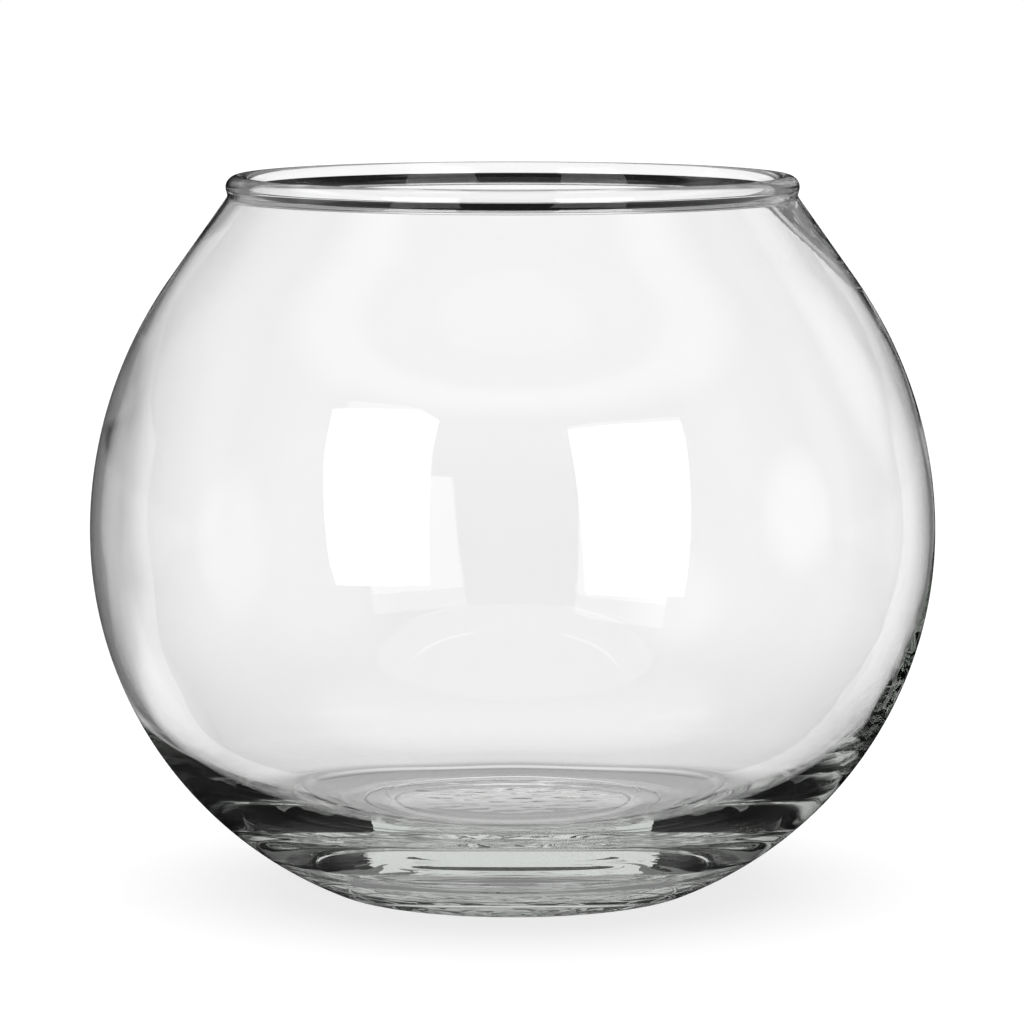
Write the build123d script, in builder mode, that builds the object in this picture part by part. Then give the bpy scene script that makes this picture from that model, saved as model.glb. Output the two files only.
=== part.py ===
from build123d import *
import os
from math import atan2, cos, degrees, sin, tan

# A rose bowl vase: one piece of clear glass, blown in a mould over a thick bottom. The origin is the centre
# of the circle that it stands on, +Z is up, and all lengths are millimetres.

# Outer body: a lower and an upper arc that meet, both upright, at the widest circle
body_radius = 76.0
equator_height = 64.5
foot_radius = 33.2

# Shoulder: a straight slope, tangent to the upper arc, that runs up to a short upright neck. The share says
# how far up, from the widest circle to the neck, the slope would meet an upright wall as wide as the body
neck_radius = 51.25
neck_height = 124.4
shoulder_corner_share = 0.42
neck_length = 2.0
neck_fillet = 0.8

# Rim: a round bead, fire polished, that stands proud of the neck outside and of the wall inside
bead_radius = 2.15
bead_overhang = 0.1

# Wall of the blown part, measured square to its surface
equator_wall = 1.8
shoulder_wall = 1.0

# Bottom of the cavity: an arc from the widest circle that runs out into a dished floor over the thick base.
# The share says how much of the depth, from the widest circle to the floor, the dish takes as its radius
floor_height = 9.9
floor_corner_radius = 42.7
dish_radius_share = 0.85

# Round mark that the forming tools leave in the middle of the floor
floor_mark_radius = 23.6
floor_mark_depth = 0.3
floor_mark_fillet = 0.12

# Foot: the ring that it stands on, and the push-up inside that ring, domed over the mark of the base plate
foot_edge_fillet = 1.5
foot_ring_width = 5.0
foot_ring_fillet = 0.6
push_up_depth = 1.2
plate_mark_inset = 6.2
plate_mark_depth = 0.4
plate_mark_fillet = 0.2
dome_rise = 0.8

# How far the tools that cut an opening run past it
overrun = 5.0


def arc_to(radius_at_equator, end_radius, drop):
    """The arc that is upright at the widest circle and ends at end_radius, drop below it.

    Returns how far its centre is from the axis, its radius, and its size in degrees."""
    inward = radius_at_equator - end_radius
    arc_radius = (drop**2 + inward**2) / (2 * inward)
    return radius_at_equator - arc_radius, arc_radius, degrees(atan2(drop, arc_radius - inward))


# Outer section, as distances from the axis and heights
lower_centre, lower_arc_radius, lower_arc_size = arc_to(body_radius, foot_radius, equator_height)
shoulder_rise = neck_height - equator_height
shoulder_corner = shoulder_corner_share * shoulder_rise
slope = atan2(body_radius - neck_radius, shoulder_rise - shoulder_corner)
upper_arc_radius = shoulder_corner / tan(slope / 2)
upper_centre = body_radius - upper_arc_radius
shoulder_start = (upper_centre + upper_arc_radius * cos(slope), equator_height + upper_arc_radius * sin(slope))

# Rim, whose bead is centred on the top of the neck
rim_height = neck_height + neck_length
bead_centre = neck_radius + bead_overhang - bead_radius
overall_height = rim_height + bead_radius

# Cavity section: its upper arc runs into a slope that is parallel to the shoulder
cavity_radius = body_radius - equator_wall
cavity_corner = shoulder_corner + (equator_wall * cos(slope) - shoulder_wall) / sin(slope)
cavity_upper_arc_radius = cavity_corner / tan(slope / 2)
cavity_upper_centre = cavity_radius - cavity_upper_arc_radius
cavity_slope_start = (
    cavity_upper_centre + cavity_upper_arc_radius * cos(slope),
    equator_height + cavity_upper_arc_radius * sin(slope),
)
cavity_top = overall_height + overrun
cavity_top_radius = cavity_slope_start[0] - (cavity_top - cavity_slope_start[1]) * tan(slope)
cavity_depth = equator_height - floor_height
cavity_lower_centre, cavity_lower_arc_radius, cavity_lower_arc_size = arc_to(
    cavity_radius, floor_corner_radius, cavity_depth
)
dish_radius = dish_radius_share * cavity_depth

# Underside
foot_ring_inner_radius = foot_radius - foot_ring_width
plate_mark_radius = foot_ring_inner_radius - plate_mark_inset
plate_mark_height = push_up_depth + plate_mark_depth
dome_height = plate_mark_height + dome_rise

print(f"overall height {overall_height:.2f}, rim outside {2 * (neck_radius + bead_overhang):.1f}")
print(f"mouth {2 * (bead_centre - bead_radius):.1f}, foot {2 * foot_radius:.1f}")
print(f"shoulder slope {degrees(slope):.1f} degrees from upright")


with BuildPart() as glass_bowl:
    # The body as solid glass, up to the middle of the bead
    with BuildSketch(Plane.XZ) as body:
        with BuildLine():
            CenterArc((lower_centre, equator_height), lower_arc_radius, -lower_arc_size, lower_arc_size)
            CenterArc((upper_centre, equator_height), upper_arc_radius, 0, degrees(slope))
            Polyline(
                shoulder_start,
                (neck_radius, neck_height),
                (neck_radius, rim_height),
                (0, rim_height),
                (0, 0),
                (foot_radius, 0),
            )
        make_face()
        fillet(body.vertices().sort_by_distance((neck_radius, neck_height))[0], neck_fillet)
        fillet(body.vertices().sort_by_distance((foot_radius, 0))[0], foot_edge_fillet)
    revolve(axis=Axis.Z)

    # The cavity, open through the mouth
    with BuildSketch(Plane.XZ) as cavity:
        with BuildLine():
            CenterArc(
                (cavity_lower_centre, equator_height),
                cavity_lower_arc_radius,
                -cavity_lower_arc_size,
                cavity_lower_arc_size,
            )
            CenterArc((cavity_upper_centre, equator_height), cavity_upper_arc_radius, 0, degrees(slope))
            Polyline(
                cavity_slope_start,
                (cavity_top_radius, cavity_top),
                (0, cavity_top),
                (0, floor_height),
                (floor_corner_radius, floor_height),
            )
        make_face()
        fillet(cavity.vertices().sort_by_distance((floor_corner_radius, floor_height))[0], dish_radius)
    revolve(axis=Axis.Z, mode=Mode.SUBTRACT)

    # The bead round the rim
    with BuildSketch(Plane.XZ):
        with Locations((bead_centre, rim_height)):
            Circle(bead_radius)
    revolve(axis=Axis.Z)

    # The round mark in the floor
    with BuildSketch(Plane.XY.offset(floor_height)):
        Circle(floor_mark_radius)
    extrude(amount=-floor_mark_depth, mode=Mode.SUBTRACT)
    fillet(glass_bowl.edges(Select.LAST).group_by(Axis.Z)[-1], floor_mark_fillet)

    # The push-up under the foot
    with BuildSketch(Plane.XZ) as push_up:
        with BuildLine():
            Polyline(
                (0, dome_height),
                (0, -overrun),
                (foot_ring_inner_radius, -overrun),
                (foot_ring_inner_radius, push_up_depth),
                (plate_mark_radius, push_up_depth),
                (plate_mark_radius, plate_mark_height),
            )
            TangentArc((0, dome_height), (plate_mark_radius, plate_mark_height), tangent=(1, 0))
        make_face()
        fillet(push_up.vertices().sort_by_distance((foot_ring_inner_radius, push_up_depth))[0], foot_ring_fillet)
        fillet(push_up.vertices().sort_by_distance((plate_mark_radius, push_up_depth))[0], plate_mark_fillet)
    revolve(axis=Axis.Z, mode=Mode.SUBTRACT)

glass_bowl.part.label = "glass_bowl"
os.makedirs("parts", exist_ok=True)
export_step(glass_bowl.part, "parts/glass_bowl.step")
print(f"glass {glass_bowl.part.volume / 1000:.0f} cm3")
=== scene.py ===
import math

import bpy
import numpy as np
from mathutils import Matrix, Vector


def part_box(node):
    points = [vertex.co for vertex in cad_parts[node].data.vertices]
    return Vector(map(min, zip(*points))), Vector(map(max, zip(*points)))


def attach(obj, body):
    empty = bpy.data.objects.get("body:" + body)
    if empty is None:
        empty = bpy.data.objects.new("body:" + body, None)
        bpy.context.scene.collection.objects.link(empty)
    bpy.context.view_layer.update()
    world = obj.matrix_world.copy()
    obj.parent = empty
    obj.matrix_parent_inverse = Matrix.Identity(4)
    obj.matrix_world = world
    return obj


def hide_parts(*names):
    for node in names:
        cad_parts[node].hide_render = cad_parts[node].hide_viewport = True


# A rose bowl vase of clear blown glass, in a white studio. The script's own lengths are millimetres, and mm turns
# them to Blender's metres. A pair of numbers, such as (20.0, 40.0), says where a smooth change starts and ends. The
# waves in the glass have a height and a pair of lengths, the longest and the shortest.

mm = 0.001

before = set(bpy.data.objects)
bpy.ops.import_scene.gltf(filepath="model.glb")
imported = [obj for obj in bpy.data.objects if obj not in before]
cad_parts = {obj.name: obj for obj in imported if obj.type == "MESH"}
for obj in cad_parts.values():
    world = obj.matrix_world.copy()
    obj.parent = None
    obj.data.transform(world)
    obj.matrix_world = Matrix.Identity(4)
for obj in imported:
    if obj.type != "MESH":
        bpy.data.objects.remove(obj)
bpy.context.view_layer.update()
bowl_low, bowl_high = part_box("glass_bowl")

# Outer body, of which the frame gives the widest radius and the height
body_radius = (bowl_high.x - bowl_low.x) / 2 / mm
overall_height = bowl_high.z / mm
equator_height = 64.5
foot_radius = 33.2
neck_radius = 51.25
neck_height = 124.4
shoulder_corner_share = 0.42

# Rim: a round bead, and the point at the top of the slope where it starts, as (radius, height)
bead_radius = 2.15
bead_overhang = 0.1
bead_foot = (50.95, 124.85)

# Wall where it is thinnest, on the right, measured square to the surface
equator_wall = 1.05
shoulder_wall = 0.8

# Inside of the thick bottom: the arc beside it, the dish, and the round mark of the forming tools
cavity_lower_radius = 62.4
floor_height = 9.9
dish_radius = 46.8
floor_mark_radius = 23.6
floor_mark_depth = 0.4

# How far the floor reaches outwards and upwards, its oval ridge round the mark, and its grain inside the mark
floor_side = (50.0, 47.0)
floor_top = (16.0, 14.0)
floor_ridge_radius = 36.8
floor_ridge_oval = 2.4
floor_ridge_rise = 0.5
floor_ridge_width = 1.2
floor_grain = 0.03
floor_grain_lengths = (6.0, 2.2)
floor_grain_side = (22.0, 18.0)

# Foot ring and push-up
foot_edge_fillet = 1.5
foot_ring_width = 5.0
push_up_depth = 1.2
plate_mark_inset = 6.2
plate_mark_depth = 0.4
dome_rise = 0.8

# Mesh: the section is drawn finely, softened as molten glass softens a corner, and then thinned to rows. They are
# closer below base_top, and the line turns at most sharpest_row_turn degrees from one to the next. Their spacing is
# evened out over row_blend of the fine line's steps to both sides
section_step = 0.05
corner_softness = 0.22
base_top = 26.0
base_row_step = 0.8
wall_row_step = 1.7
sharpest_row_turn = 10.0
row_blend = 20
columns = 256

# Extra glass on the left, where the wall thickens from the shoulder down to the bottom, and from the back to the
# front left: how much, between which heights, and between which turns in degrees
left_extra = 1.9
left_extra_top = (118.0, 84.0)
left_extra_bottom = (24.0, 60.0)
left_extra_back = (138.0, 200.0)
left_extra_front = (258.0, 200.0)

# Thick, crinkled glass under the rim on the right: its inside as (height, radius), with no fill above and below, and
# where it ends, as (height, degrees to both sides). It fades out over the last share of the way to that end. Its
# crinkle is between two heights
no_fill = 200.0
right_fill = [(109.0, 61.0), (110.0, 60.4), (114.0, 56.5), (119.0, 50.8), (124.0, 47.6), (126.4, 47.2)]
right_fill_end = [(109.0, 9.0), (114.0, 13.0), (119.0, 21.0), (124.0, 27.0)]
right_fill_fade = (1.0, 0.4)
right_crinkle = 0.12
right_crinkle_lengths = (5.0, 1.6)
right_crinkle_bottom = (109.0, 114.0)
right_crinkle_top = (126.0, 124.0)

# Ripples round the bottom, on the inside and outside, in front and behind, where the sine of the turn is high
base_ripple = 0.008
base_ripple_lengths = (7.0, 2.6)
base_ripple_top = (18.0, 9.0)
base_ripple_middle = (6.0, 14.0)
base_ripple_side = (0.85, 0.97)

# Faint crinkle low on the right, where the cosine of the turn is high
side_crinkle = 0.022
side_crinkle_lengths = (7.0, 2.5)
side_crinkle_bottom = (16.0, 28.0)
side_crinkle_top = (60.0, 46.0)
side_crinkle_side = (0.85, 0.97)

# The long soft waves of a blown wall
wall_wave = 0.008
wall_wave_lengths = (34.0, 14.0)
wall_wave_bottom = (20.0, 40.0)
wall_wave_top = (122.0, 112.0)

# Each of these is this many plane waves together, which start anywhere in a whole turn
wave_count = 12
wave_starts = 6.28

# Soda-lime glass: its IOR, its faint grey-green, and the share of light that its shadow lets through
glass_ior = 1.52
glass_tint = "#C6CCC5"
glass_tint_density = 7.0
shadow_share = 0.9
glass_bounces = 120
all_bounces = 200

# Camera: distance from the axis, height, tilt below level, and focal length over the photograph's width
camera_distance = 935.0
camera_height = 176.3
camera_tilt = 6.62
camera_focal = 5222.0
photo_width = 1024.0
photo_middle = 512.6
sensor_width = 36.0
camera_far_end = 100000.0

# Studio, as the glass sees it through itself. Directions are given by their shares of X, Y and Z: a dark room, white
# below the horizon behind the bowl, turned and half as wide as two angles in degrees say, dimmer white beside it, and
# a soft light overhead
room_level = 0.012
white_turn = -1.5
white_spread = 18.0
white_side = (0.09, -0.09)
white_top = (0.0, -0.03)
beside_level = 0.25
beside_front = (0.1, 0.3)
overhead_level = 1.0
overhead_front_level = 0.3
overhead_bottom = (0.7, 0.88)
overhead_front = (-0.2, 0.2)

# Other sides that the bowl is looked at from, as (turn, fall) in degrees. The room is white straight behind it there
# too, within these cosines of the angle to that direction
other_sides = [(-45.0, 25.0), (135.0, 15.0), (-90.0, 3.0)]
other_side_reach = (0.955, 0.9969)

# What the outer skin mirrors: grey sides, a grey back wall beside the middle, and a grey ceiling
side_level = 1.15
side_front = (0.45, 0.75)
side_bottom = (-0.6, -0.25)
back_wall_level = 0.9
back_wall_bottom = (0.0, 0.3)
back_wall_front = (-0.2, 0.3)
back_wall_middle = (0.15, 0.4)
ceiling_level = 0.8
ceiling_bottom = (0.0, 0.6)

# White table as the glass sees it, with a soft end and the bowl's shadow painted on it: painted shade round the foot,
# and painted shade of another level under the push-up. All of that goes by the distance from the axis
table_level = 0.9
table_reach = (60.0, 95.0)
table_height = -0.1
table_corners = 64
foot_shade_level = 0.3
foot_shade_reach = (42.0, 58.0)
push_up_shadow_level = 0.52
push_up_shadow_reach = (27.0, 23.0)

# Low white card close behind the bowl
card_level = 1.0
card_distance = 300.0
card_half_width = 124.0
card_top = 112.0

# Panels: their turn from straight in front, their distance, and their corners, sideways and up, on their own plane
panel_distance = 700.0
panel_level = 1.5
panel_mirrored_level = 5.0
left_panel_turn = -38.0
left_panel = [(-205, 500), (-98, 512), (52, 535), (128, 549), (209, 525), (202, 400), (204, 300), (215, 100),
              (218, -28), (-86, -34), (-109, 36), (-137, 172), (-172, 319)]
right_panel_turn = 34.0
right_panel = [(-232, 495), (-110, 484), (35, 470), (190, 464), (187, 394), (165, 264), (152, 176), (135, 37),
               (122, -70), (10, -66), (-195, -55), (-201, 6), (-213, 205), (-221, 339)]

# Lamp, as wide as an angle in degrees, and floor, for the shadow that the camera sees
lamp_level = 3.6
lamp_width = 90.0
floor_grey = (0.8, 0.8, 0.8, 1)
floor_own_level = 0.21
floor_reach = 6000
white = (1, 1, 1, 1)


def linear(hex_colour):
    """An sRGB hex colour as linear red, green, blue and an alpha of 1."""
    shares = [int(hex_colour[i : i + 2], 16) / 255 for i in (1, 3, 5)]
    return (*[s / 12.92 if s <= 0.04045 else ((s + 0.055) / 1.055) ** 2.4 for s in shares], 1.0)


def smooth_step(value, start, end):
    """0 before start, 1 after end, and 3t^2 - 2t^3 in between; start may be above end."""
    t = np.clip((value - start) / (end - start), 0, 1)
    return t * t * (3 - 2 * t)


def line(start, end):
    """Points on the straight line from start to end, section_step apart, without its end."""
    start, end = np.array(start, float), np.array(end, float)
    count = max(2, round(np.linalg.norm(end - start) / section_step))
    return start + (end - start) * np.linspace(0, 1, count, endpoint=False)[:, None]


def arc(centre, radius, start, end):
    """Points centre + radius (cos a, sin a) for angles a from start to end in radians, without its end."""
    count = max(2, round(abs(end - start) * radius / section_step))
    angles = np.linspace(start, end, count, endpoint=False)
    return np.array(centre) + radius * np.column_stack([np.cos(angles), np.sin(angles)])


def arc_to(radius_at_equator, end_radius, drop):
    """The centre and radius of the arc that is upright at the equator and ends at end_radius, drop below."""
    inward = radius_at_equator - end_radius
    radius = (drop**2 + inward**2) / (2 * inward)
    return radius_at_equator - radius, radius


def outer_section():
    """Underside, foot and outer wall, as (radius, height) points from the axis up to the bead's widest point.

    The wall is a lower and an upper arc, both upright at the equator, and a tangent slope up to the bead."""
    ring_inner = foot_radius - foot_ring_width
    mark_radius = ring_inner - plate_mark_inset
    mark_height = push_up_depth + plate_mark_depth
    dome = np.linspace(0, 1, round(mark_radius / section_step), endpoint=False)
    centre, radius = arc_to(body_radius, foot_radius, equator_height)
    edge_centre = centre + math.sqrt((radius - foot_edge_fillet) ** 2 - (equator_height - foot_edge_fillet) ** 2)
    edge_angle = math.atan2(foot_edge_fillet - equator_height, edge_centre - centre)
    return np.vstack([
        np.column_stack([mark_radius * dome, mark_height + dome_rise * (1 - dome**2)]),
        line((mark_radius, mark_height), (mark_radius, push_up_depth)),
        line((mark_radius, push_up_depth), (ring_inner, push_up_depth)),
        line((ring_inner, push_up_depth), (ring_inner, 0)),
        line((ring_inner, 0), (edge_centre, 0)),
        arc((edge_centre, foot_edge_fillet), foot_edge_fillet, -math.pi / 2, edge_angle),
        arc((centre, equator_height), radius, edge_angle, 0),
        arc((body_radius - upper_radius, equator_height), upper_radius, 0, slope),
        line(slope_start, bead_foot),
        line(bead_foot, (bead_centre[0] + bead_radius, bead_centre[1])),
    ])


def bead_section():
    """The bead's circle, from its widest point over the top and round to where the inner wall meets it."""
    return arc(bead_centre, bead_radius, 0, bead_end_angle)


def inner_section():
    """Inner wall from the bead down, the fillet into the floor, and the floor to the axis."""
    radius = cavity_lower_radius
    centre = cavity_radius - radius
    fillet_height = floor_height + dish_radius
    fillet_radius = centre + math.sqrt((radius - dish_radius) ** 2 - (equator_height - fillet_height) ** 2)
    fillet_angle = math.atan2(fillet_height - equator_height, fillet_radius - centre)
    mark_height = floor_height - floor_mark_depth
    return np.vstack([
        line(bead_end, cavity_slope_start),
        arc((cavity_radius - cavity_upper_radius, equator_height), cavity_upper_radius, slope, 0),
        arc((centre, equator_height), radius, 0, fillet_angle),
        arc((fillet_radius, fillet_height), dish_radius, fillet_angle, -math.pi / 2),
        line((fillet_radius, floor_height), (floor_mark_radius, floor_height)),
        line((floor_mark_radius, floor_height), (floor_mark_radius, mark_height)),
        line((floor_mark_radius, mark_height), (0, mark_height)),
        [(0, mark_height)],
    ])


# Shoulder slope and its arc, as in the part's own construction
shoulder_rise = neck_height - equator_height
shoulder_corner = shoulder_corner_share * shoulder_rise
slope = math.atan2(body_radius - neck_radius, shoulder_rise - shoulder_corner)
upper_radius = shoulder_corner / math.tan(slope / 2)
slope_start = (
    body_radius - upper_radius * (1 - math.cos(slope)),
    equator_height + upper_radius * math.sin(slope),
)
cavity_radius = body_radius - equator_wall
cavity_corner = shoulder_corner + (equator_wall * math.cos(slope) - shoulder_wall) / math.sin(slope)
cavity_upper_radius = cavity_corner / math.tan(slope / 2)
cavity_slope_start = (
    cavity_radius - cavity_upper_radius * (1 - math.cos(slope)),
    equator_height + cavity_upper_radius * math.sin(slope),
)

# The bead's circle, cut by the inner wall's slope
bead_centre = (neck_radius + bead_overhang - bead_radius, overall_height - bead_radius)
slope_offset = (bead_centre[0] - cavity_slope_start[0]) * math.cos(slope) + (
    bead_centre[1] - cavity_slope_start[1]
) * math.sin(slope)
bead_end_angle = slope + math.pi + math.acos(slope_offset / bead_radius)
bead_end = (
    bead_centre[0] + bead_radius * math.cos(bead_end_angle),
    bead_centre[1] + bead_radius * math.sin(bead_end_angle),
)


def distance_along(points):
    """How far each point of a line is from its first, along the line."""
    return np.concatenate([[0], np.cumsum(np.linalg.norm(np.diff(points, axis=0), axis=1))])


def softened(points):
    """The same line with every corner rounded: a Gaussian mean along it, with its ends held on the axis."""
    reach = round(4 * corner_softness / section_step)
    weights = np.exp(-0.5 * (np.arange(-reach, reach + 1) * section_step / corner_softness) ** 2)
    weights /= weights.sum()
    mirror = np.array([-1, 1])
    padded = np.vstack([points[reach:0:-1] * mirror, points, points[-2 : -reach - 2 : -1] * mirror])
    return np.column_stack([np.convolve(padded[:, k], weights, "valid") for k in (0, 1)])


def even(points):
    """The same line with its points section_step apart."""
    along = distance_along(points)
    wanted = np.linspace(0, along[-1], round(along[-1] / section_step))
    return np.column_stack([np.interp(wanted, along, points[:, k]) for k in (0, 1)])


def thinned(points):
    """Rows from a fine line: a row step apart at most, and turning little between two rows.

    Each of the line's steps needs a share of a row, evened out over row_blend steps to both sides."""
    ahead = np.diff(points, axis=0)
    heading = np.unwrap(np.arctan2(ahead[:, 1], ahead[:, 0]))
    bend = np.abs(np.gradient(heading))
    longest = np.where(points[1:, 1] < base_top, base_row_step, wall_row_step)
    need = np.maximum(section_step / longest, bend / math.radians(sharpest_row_turn))
    window = 2 * row_blend + 1
    need = np.convolve(np.pad(need, row_blend, "edge"), np.ones(window) / window, "valid")
    total = np.concatenate([[0], np.cumsum(need)])
    wanted = np.linspace(0, total[-1], round(total[-1]) + 1)
    at = np.interp(wanted, total, np.arange(len(total)))
    return np.column_stack([np.interp(at, np.arange(len(points)), points[:, k]) for k in (0, 1)])


def waves(place, longest, shortest, seed):
    """Soft random waves, about 1 high: the sum of plane waves cos(k.p + a) of lengths between the two."""
    random = np.random.default_rng(seed)
    total = 0
    for _ in range(wave_count):
        way = random.normal(size=3)
        way *= 2 * math.pi / random.uniform(shortest, longest) / np.linalg.norm(way)
        start = random.uniform(0, wave_starts)
        total = total + np.cos(place[0] * way[0] + place[1] * way[1] + place[2] * way[2] + start)
    return total / math.sqrt(wave_count / 2)


def blown(rows, turn):
    """Radius and height of every row at every angle: the turned shape with all that glass does of its own.

    Each point of the inside moves by push along the section's normal, which is out of the glass, and the right
    fill moves it in towards the axis. The base's ripples move the outside too."""
    ahead = np.gradient(rows, axis=0)
    ahead /= np.linalg.norm(ahead, axis=1)[:, None]
    normal = np.column_stack([ahead[:, 1], -ahead[:, 0]])
    radius, height = rows[:, 0][:, None], rows[:, 1][:, None]
    place = (radius * np.cos(turn), radius * np.sin(turn), height + 0 * turn)
    inside = (np.arange(len(rows)) > np.argmax(rows[:, 1]))[:, None]

    # Thicker wall on the left, and the wall's long waves
    degrees = np.degrees(turn)
    left = smooth_step(degrees, *left_extra_back) * smooth_step(degrees, *left_extra_front)
    push = left_extra * smooth_step(height, *left_extra_top) * smooth_step(height, *left_extra_bottom) * left
    wall = smooth_step(height, *wall_wave_bottom) * smooth_step(height, *wall_wave_top)
    push = push + wall_wave * waves(place, *wall_wave_lengths, seed=2) * wall

    # Oval ridge and grain of the floor
    floor = smooth_step(radius, *floor_side) * smooth_step(height, *floor_top)
    ridge = floor_ridge_radius + floor_ridge_oval * np.cos(2 * turn)
    push = push + floor * floor_ridge_rise * np.exp(-(((radius - ridge) / floor_ridge_width) ** 2))
    grain = waves(place, *floor_grain_lengths, seed=3) * smooth_step(radius, *floor_grain_side)
    push = push + floor * floor_grain * grain

    # Crinkle low on the right
    beside = smooth_step(np.cos(turn), *side_crinkle_side)
    beside = beside * smooth_step(height, *side_crinkle_bottom) * smooth_step(height, *side_crinkle_top)
    push = push + side_crinkle * waves(place, *side_crinkle_lengths, seed=5) * beside

    # Thick, crinkled glass under the rim on the right
    aside = np.degrees(np.minimum(turn, 2 * math.pi - turn))
    filled = smooth_step(aside / np.interp(height, *np.transpose(right_fill_end)), *right_fill_fade) * inside
    crinkled = filled * smooth_step(height, *right_crinkle_bottom) * smooth_step(height, *right_crinkle_top)
    push = push + right_crinkle * waves(place, *right_crinkle_lengths, seed=1) * crinkled
    fill_radius = np.interp(height, *np.transpose(right_fill), left=no_fill, right=no_fill)
    fill = filled * np.maximum(0, radius - fill_radius)

    # Ripples round the bottom
    along = distance_along(rows)[:, None]
    rings = base_ripple * waves((along, along, along), *base_ripple_lengths, seed=4)
    rings = rings * smooth_step(height, *base_ripple_top) * smooth_step(radius, *base_ripple_middle)
    rings = rings * smooth_step(np.abs(np.sin(turn)), *base_ripple_side)

    push = np.where(inside, push, 0) + rings
    return radius + push * normal[:, 0][:, None] - fill, height + push * normal[:, 1][:, None]


def revolved(name, rows):
    """A closed surface: each row of the section is carried round the axis as blown glass.

    x = r cos t, y = r sin t, z = z; the first and the last row are single points on the axis."""
    turn = np.linspace(0, 2 * math.pi, columns, endpoint=False)
    radius, height = blown(rows, turn)
    grid = np.stack([radius * np.cos(turn), radius * np.sin(turn), height], axis=2)[1:-1]
    ends = [(0, 0, rows[0, 1]), (0, 0, rows[-1, 1])]
    points = np.vstack([grid.reshape(-1, 3), ends]) * mm
    bands = len(grid)
    index = np.arange(bands * columns).reshape(bands, columns)
    after = np.roll(index, -1, axis=1)
    quads = np.stack([index[:-1], after[:-1], after[1:], index[1:]], axis=2).reshape(-1, 4)
    first, last = bands * columns, bands * columns + 1
    caps = [(first, b, a) for a, b in zip(index[0], after[0])]
    caps += [(last, a, b) for a, b in zip(index[-1], after[-1])]
    mesh = bpy.data.meshes.new(name)
    mesh.from_pydata(points.tolist(), [], quads.tolist() + caps)
    mesh.shade_smooth()
    mesh.update()
    piece = bpy.data.objects.new(name, mesh)
    bpy.context.scene.collection.objects.link(piece)
    return piece


def add_node(tree, kind, *inputs, **named):
    """Adds a node. Inputs are given in order, or by name with _ for a space; other names are its own settings.

    An input that is a node, whose first output is meant, or a socket is linked, and any other is the value."""
    node = tree.nodes.new(kind)
    given = list(zip(node.inputs, inputs))
    for name, value in named.items():
        if name.replace("_", " ") in node.inputs:
            given.append((node.inputs[name.replace("_", " ")], value))
        else:
            setattr(node, name, value)
    for socket, value in given:
        if isinstance(value, bpy.types.Node):
            value = value.outputs[0]
        if isinstance(value, bpy.types.NodeSocket):
            tree.links.new(value, socket)
        else:
            socket.default_value = value
    return node


def new_tree(owner):
    """The empty node tree of a new material or world."""
    owner.use_nodes = True
    owner.node_tree.nodes.clear()
    return owner.node_tree


def clear_glass():
    """Clear soda-lime glass, fire polished: no grain at all, a faint grey-green only in the thick bottom."""
    material = bpy.data.materials.new("soda_lime_glass")
    tree = new_tree(material)
    path = add_node(tree, "ShaderNodeLightPath")
    glass = add_node(
        tree,
        "ShaderNodeBsdfPrincipled",
        Base_Color=white,
        Roughness=0.0,
        IOR=glass_ior,
        Transmission_Weight=1.0,
    )
    let_through = add_node(tree, "ShaderNodeBsdfTransparent", (shadow_share, shadow_share, shadow_share, 1))
    surface = add_node(tree, "ShaderNodeMixShader", path.outputs["Is Shadow Ray"], glass, let_through)
    tint = add_node(tree, "ShaderNodeVolumeAbsorption", Color=linear(glass_tint), Density=glass_tint_density)
    add_node(tree, "ShaderNodeOutputMaterial", Surface=surface, Volume=tint)
    return material


def make_bowl():
    """The whole bowl, one closed skin of glass with its inside and outside."""
    section = np.vstack([outer_section(), bead_section(), inner_section()])
    bowl = revolved("rose_bowl_glass", thinned(softened(even(section))))
    bowl.data.materials.append(clear_glass())
    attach(bowl, "root")
    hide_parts("glass_bowl")


def make_camera():
    """The photograph's camera, level with the bowl's axis in x, tilted down a little."""
    camera = bpy.data.cameras.new("photo_camera")
    camera.sensor_width = sensor_width
    camera.lens = camera_focal * sensor_width / photo_width
    camera.shift_x = -(photo_middle - photo_width / 2) / photo_width
    camera.clip_end = camera_far_end * mm
    holder = bpy.data.objects.new("photo_camera", camera)
    holder.location = (0, -camera_distance * mm, camera_height * mm)
    holder.rotation_euler = (math.radians(90 - camera_tilt), 0, 0)
    bpy.context.scene.collection.objects.link(holder)
    bpy.context.scene.camera = holder


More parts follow.
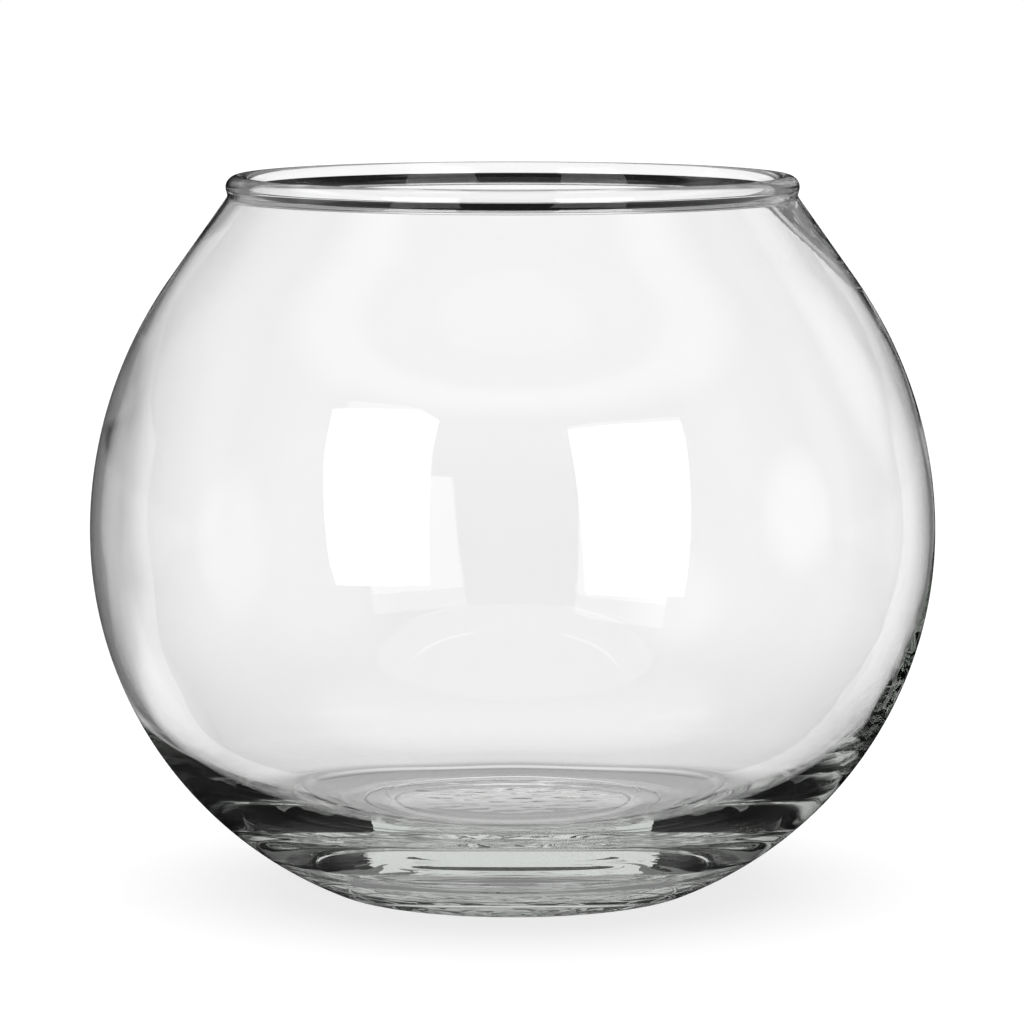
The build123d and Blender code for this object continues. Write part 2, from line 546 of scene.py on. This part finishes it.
def make_world():
    """White for the camera; for glass a room that depends on the direction, by its share of X, Y and Z.

    The outer skin's mirror rays are the reflection rays that aren't diffuse, and see another room."""
    world = bpy.data.worlds.new("studio")
    tree = new_tree(world)
    path = add_node(tree, "ShaderNodeLightPath").outputs
    way = add_node(tree, "ShaderNodeTexCoord").outputs["Generated"]
    part = add_node(tree, "ShaderNodeSeparateXYZ", way).outputs
    aside = add_node(tree, "ShaderNodeMath", part["X"], operation="ABSOLUTE")

    # How far a direction is outside the two upright planes that the white behind the bowl lies between
    turned, spread = -np.tan(np.radians([white_turn, white_spread]))
    past = add_node(tree, "ShaderNodeMath", part["Y"], turned, part["X"], operation="MULTIPLY_ADD")
    past = add_node(tree, "ShaderNodeMath", past, operation="ABSOLUTE")
    past = add_node(tree, "ShaderNodeMath", part["Y"], spread, past, operation="MULTIPLY_ADD")

    # Smooth steps, as (value, reach, level before, level after)
    steps = {
        "beside": (part["Y"], beside_front, 0, beside_level),
        "white": (past, white_side, 0, 1),
        "white_top": (part["Z"], white_top, 0, 1),
        "overhead": (part["Z"], overhead_bottom, 0, 1),
        "overhead_front": (part["Y"], overhead_front, overhead_front_level, overhead_level),
        "side": (aside, side_front, 0, side_level),
        "side_bottom": (part["Z"], side_bottom, 0, 1),
        "back_wall": (part["Z"], back_wall_bottom, 0, back_wall_level),
        "back_wall_front": (part["Y"], back_wall_front, 0, 1),
        "back_wall_middle": (aside, back_wall_middle, 0, 1),
        "ceiling": (part["Z"], ceiling_bottom, 0, ceiling_level),
    }
    for number, (turn, fall) in enumerate(np.radians(other_sides)):
        middle = (math.sin(turn) * math.cos(fall), math.cos(turn) * math.cos(fall), -math.sin(fall))
        close = add_node(tree, "ShaderNodeVectorMath", way, middle, operation="DOT_PRODUCT").outputs["Value"]
        steps[number] = (close, other_side_reach, 0, 1)
    light = {
        name: add_node(tree, "ShaderNodeMapRange", value, *reach, *levels, interpolation_type="SMOOTHSTEP")
        for name, (value, reach, *levels) in steps.items()
    }

    # What the glass shows through itself, and what its outer skin mirrors
    for name, operation, *others in [
        ("white", "MAXIMUM", "beside"),
        ("white", "MULTIPLY", "white_top"),
        ("white", "MAXIMUM", *range(len(other_sides))),
        ("overhead", "MULTIPLY", "overhead_front"),
        ("white", "MAXIMUM", "overhead"),
        ("side", "MULTIPLY", "side_bottom"),
        ("back_wall", "MULTIPLY", "back_wall_front", "back_wall_middle"),
        ("side", "MAXIMUM", "back_wall", "ceiling"),
    ]:
        for other in others:
            light[name] = add_node(tree, "ShaderNodeMath", light[name], light[other], operation=operation)
    through = add_node(tree, "ShaderNodeMath", light["white"], room_level, operation="MAXIMUM")
    mirror_ray = add_node(
        tree, "ShaderNodeMath", path["Is Reflection Ray"], path["Is Glossy Ray"], operation="MULTIPLY"
    )
    mirrored = add_node(tree, "ShaderNodeMath", light["side"], mirror_ray, operation="MULTIPLY")
    seen = add_node(
        tree, "ShaderNodeMath", through, path["Is Transmission Ray"], mirrored, operation="MULTIPLY_ADD"
    )
    shown = add_node(tree, "ShaderNodeMath", seen, path["Is Camera Ray"], operation="MAXIMUM")
    back = add_node(tree, "ShaderNodeBackground", Color=white, Strength=shown)
    add_node(tree, "ShaderNodeOutputWorld", Surface=back)
    bpy.context.scene.world = world


def stage_sheet(name, corners, material, camera=False, through=False, mirrored=False):
    """A flat sheet of the stage with its corners in millimetres, and by which rays it is seen."""
    mesh = bpy.data.meshes.new(name)
    mesh.from_pydata((np.array(corners, float) * mm).tolist(), [], [tuple(range(len(corners)))])
    mesh.materials.append(material)
    sheet = bpy.data.objects.new(name, mesh)
    bpy.context.scene.collection.objects.link(sheet)
    sheet.visible_camera = camera
    sheet.visible_diffuse = False
    sheet.visible_shadow = False
    sheet.visible_glossy = mirrored
    sheet.visible_transmission = through


def glowing(name, level, mirrored_level):
    """A white sheet's even light, of another strength where a surface mirrors it."""
    material = bpy.data.materials.new(name)
    tree = new_tree(material)
    mirror_ray = add_node(tree, "ShaderNodeLightPath").outputs["Is Reflection Ray"]
    strength = add_node(tree, "ShaderNodeMath", mirror_ray, mirrored_level - level, level, operation="MULTIPLY_ADD")
    light = add_node(tree, "ShaderNodeEmission", Color=white, Strength=strength)
    add_node(tree, "ShaderNodeOutputMaterial", Surface=light)
    return material


def make_lamp():
    """The soft light overhead as the floor gets it, far away and wide, which the glass doesn't mirror."""
    lamp = bpy.data.lights.new("soft_overhead_light", "SUN")
    lamp.energy = lamp_level
    lamp.angle = math.radians(lamp_width)
    lamp.cycles.use_multiple_importance_sampling = False
    holder = bpy.data.objects.new("soft_overhead_light", lamp)
    bpy.context.scene.collection.objects.link(holder)


def make_floor():
    """The floor that the camera sees: lit to white with a little light of its own, so that shadows stay faint."""
    material = bpy.data.materials.new("studio_floor")
    tree = new_tree(material)
    lit = add_node(tree, "ShaderNodeBsdfDiffuse", Color=floor_grey)
    own = add_node(tree, "ShaderNodeEmission", Color=white, Strength=floor_own_level)
    both = add_node(tree, "ShaderNodeAddShader", lit, own)
    add_node(tree, "ShaderNodeOutputMaterial", Surface=both)
    corners = [(-1, -1, 0), (1, -1, 0), (1, 1, 0), (-1, 1, 0)]
    stage_sheet("studio_floor", np.array(corners) * floor_reach, material, camera=True)


def make_table():
    """The white table round the bowl as the glass sees it, with a painted shadow of the bowl: dimmer near the foot.
    """
    material = bpy.data.materials.new("table_light_and_painted_shadow")
    tree = new_tree(material)
    place = add_node(tree, "ShaderNodeTexCoord").outputs["Object"]
    away = add_node(tree, "ShaderNodeVectorMath", place, operation="LENGTH").outputs["Value"]
    # Painted shadow: the table's light is dimmer round the foot, and of another level under the push-up
    strength, push_up_shadow, gone = [
        add_node(tree, "ShaderNodeMapRange", away, near * mm, far * mm, *levels, interpolation_type="SMOOTHSTEP")
        for (near, far), *levels in [
            (foot_shade_reach, foot_shade_level, table_level),
            (push_up_shadow_reach, 0, push_up_shadow_level),
            (table_reach, 0, 1),
        ]
    ]
    strength = add_node(tree, "ShaderNodeMath", strength, push_up_shadow, operation="MAXIMUM")
    light = add_node(tree, "ShaderNodeEmission", Color=white, Strength=strength)
    nothing = add_node(tree, "ShaderNodeBsdfTransparent", Color=white)
    mixed = add_node(tree, "ShaderNodeMixShader", gone, light, nothing)
    add_node(tree, "ShaderNodeOutputMaterial", Surface=mixed)
    turn = np.linspace(0, 2 * math.pi, table_corners, endpoint=False)
    edge = table_reach[1]
    corners = np.column_stack([edge * np.cos(turn), edge * np.sin(turn), np.full(table_corners, table_height)])
    stage_sheet("white_table", corners, material, through=True)


def make_card():
    """The low white card close behind the bowl."""
    half, far, top = card_half_width, card_distance, card_top
    corners = [(-half, far, 0), (half, far, 0), (half, far, top), (-half, far, top)]
    stage_sheet("white_card", corners, glowing("card_light", card_level, 0.0), through=True)


def make_panel(name, turn, outline, light):
    """A white panel in front that the bowl mirrors, turned towards the bowl's axis."""
    turn = math.radians(turn)
    middle = np.array([math.sin(turn), -math.cos(turn), 0]) * panel_distance
    aside = np.array([math.cos(turn), math.sin(turn), 0])
    corners = [middle + aside * u + np.array([0, 0, v]) for u, v in outline]
    stage_sheet(name, corners, light, through=True, mirrored=True)


make_bowl()
make_camera()
make_world()
make_lamp()
make_floor()
make_table()
make_card()
panel_light = glowing("panel_light", panel_level, panel_mirrored_level)
make_panel("left_panel", left_panel_turn, left_panel, panel_light)
make_panel("right_panel", right_panel_turn, right_panel, panel_light)

scene = bpy.context.scene
scene.view_settings.view_transform = "Standard"
scene.cycles.transmission_bounces = glass_bounces
scene.cycles.glossy_bounces = glass_bounces
scene.cycles.max_bounces = all_bounces
scene.cycles.caustics_reflective = False
scene.cycles.caustics_refractive = False
